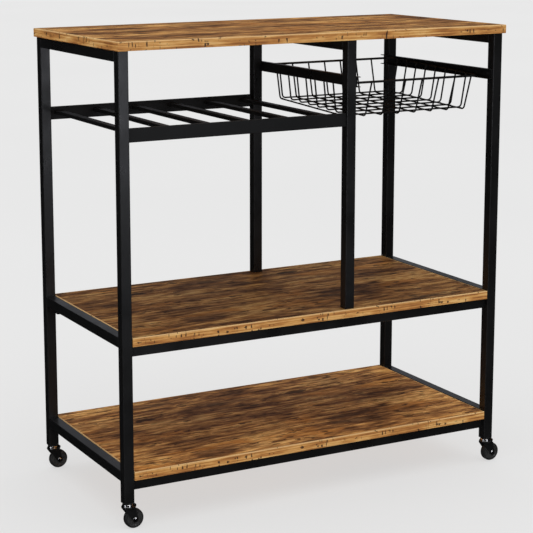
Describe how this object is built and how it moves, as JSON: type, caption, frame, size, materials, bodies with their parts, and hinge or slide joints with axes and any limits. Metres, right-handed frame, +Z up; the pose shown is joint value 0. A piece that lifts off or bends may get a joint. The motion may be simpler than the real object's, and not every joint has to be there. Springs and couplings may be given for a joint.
{
  "type": "bar cart on wheels",
  "caption": "Serving cart with wood-look boards on a black square-tube frame, a slatted bottle rack, a sliding wire basket and swivel casters.",
  "frame": {"origin": "on the floor, at the middle of the cart's outline with its wheels trailing to the right", "axes": "+Z up, +X to the right as seen by someone facing the basket end's open front, +Y to the back; the basket pulls out along -Y"},
  "size_m": [0.8636, 0.4154, 0.912],
  "materials": {
    "board": "satin printed rustic wood grain on particle board",
    "frame_black": "satin black powder coat",
    "basket_black": "satin black coated wire",
    "fork_black": "semi-gloss black",
    "chrome": "polished",
    "wheel_black": "gloss black",
    "plug_black": "matt black"
  },
  "bodies": {
    "frame": {"top_board": "board", "middle_shelf_board": "board", "bottom_shelf_board": "board", "leg_front_left": "frame_black", "leg_front_right": "frame_black", "leg_back_left": "frame_black", "leg_back_right": "frame_black", "top_side_rail_left": "frame_black", "middle_side_rail_left": "frame_black", "bottom_side_rail_left": "frame_black", "top_side_rail_right": "frame_black", "middle_side_rail_right": "frame_black", "bottom_side_rail_right": "frame_black", "middle_shelf_rail_front": "frame_black", "bottom_shelf_rail_front": "frame_black", "middle_shelf_rail_back": "frame_black", "bottom_shelf_rail_back": "frame_black", "post_front": "frame_black", "post_back": "frame_black", "top_post_rail": "frame_black", "bottle_rail_front": "frame_black", "bottle_rail_back": "frame_black", "bottle_slat_1": "frame_black", "bottle_slat_2": "frame_black", "bottle_slat_3": "frame_black", "bottle_slat_4": "frame_black", "bottle_slat_5": "frame_black", "bottle_slat_6": "frame_black", "basket_runner_left": "frame_black", "basket_runner_right": "frame_black", "leg_plug_front_left": "plug_black", "caster_stem_front_left": "chrome", "leg_plug_front_right": "plug_black", "caster_stem_front_right": "chrome", "leg_plug_back_left": "plug_black", "caster_stem_back_left": "chrome", "leg_plug_back_right": "plug_black", "caster_stem_back_right": "chrome"},
    "basket": {"wire_basket": "basket_black"},
    "swivel_front_left": {"caster_fork_front_left": "fork_black", "caster_axle_front_left": "chrome"},
    "wheel_front_left": {"caster_wheel_front_left": "wheel_black"},
    "swivel_front_right": {"caster_fork_front_right": "fork_black", "caster_axle_front_right": "chrome"},
    "wheel_front_right": {"caster_wheel_front_right": "wheel_black"},
    "swivel_back_left": {"caster_fork_back_left": "fork_black", "caster_axle_back_left": "chrome"},
    "wheel_back_left": {"caster_wheel_back_left": "wheel_black"},
    "swivel_back_right": {"caster_fork_back_right": "fork_black", "caster_axle_back_right": "chrome"},
    "wheel_back_right": {"caster_wheel_back_right": "wheel_black"}
  },
  "joints": [
    {"name": "basket_slide", "type": "slide", "parent": "frame", "child": "basket", "axis": [0, -1, 0], "range_m": [-0.03, 0.26]},
    {"name": "swivel_front_left_turn", "type": "hinge", "parent": "frame", "child": "swivel_front_left", "pos_m": [-0.41865, -0.19, 0.041], "axis": [0, 0, 1], "continuous": true},
    {"name": "wheel_front_left_spin", "type": "hinge", "parent": "swivel_front_left", "child": "wheel_front_left", "pos_m": [-0.40715, -0.19, 0.019], "axis": [0, 1, 0], "continuous": true},
    {"name": "swivel_front_right_turn", "type": "hinge", "parent": "frame", "child": "swivel_front_right", "pos_m": [0.40135, -0.19, 0.041], "axis": [0, 0, 1], "continuous": true},
    {"name": "wheel_front_right_spin", "type": "hinge", "parent": "swivel_front_right", "child": "wheel_front_right", "pos_m": [0.41285, -0.19, 0.019], "axis": [0, 1, 0], "continuous": true},
    {"name": "swivel_back_left_turn", "type": "hinge", "parent": "frame", "child": "swivel_back_left", "pos_m": [-0.41865, 0.19, 0.041], "axis": [0, 0, 1], "continuous": true},
    {"name": "wheel_back_left_spin", "type": "hinge", "parent": "swivel_back_left", "child": "wheel_back_left", "pos_m": [-0.40715, 0.19, 0.019], "axis": [0, 1, 0], "continuous": true},
    {"name": "swivel_back_right_turn", "type": "hinge", "parent": "frame", "child": "swivel_back_right", "pos_m": [0.40135, 0.19, 0.041], "axis": [0, 0, 1], "continuous": true},
    {"name": "wheel_back_right_spin", "type": "hinge", "parent": "swivel_back_right", "child": "wheel_back_right", "pos_m": [0.41285, 0.19, 0.019], "axis": [0, 1, 0], "continuous": true}
  ]
}
